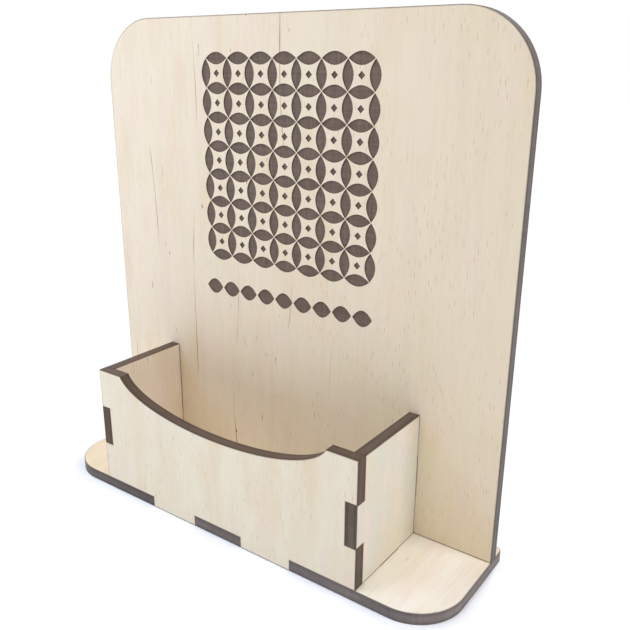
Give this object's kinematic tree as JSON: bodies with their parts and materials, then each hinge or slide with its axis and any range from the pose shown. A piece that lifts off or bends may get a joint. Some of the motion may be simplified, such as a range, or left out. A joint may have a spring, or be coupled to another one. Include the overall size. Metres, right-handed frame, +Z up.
{
  "type": "business card holder stand",
  "caption": "Free-standing plywood desk stand with a tall rounded back panel and an open box pocket in front for upright business cards, finger-jointed and glued.",
  "frame": {"origin": "on the underside of the base, under the middle of the whole stand", "axes": "+Z up, +Y from the pocket's front towards the back panel, +X to the right as seen from the front"},
  "size_m": [0.15, 0.042, 0.1536],
  "materials": {
    "birch_plywood": "bare sanded birch veneer with laser-charred cut edges"
  },
  "bodies": {
    "root": {"base_plate": "birch_plywood", "back_panel": "birch_plywood", "front_panel": "birch_plywood", "left_side": "birch_plywood", "right_side": "birch_plywood"}
  },
  "joints": []
}
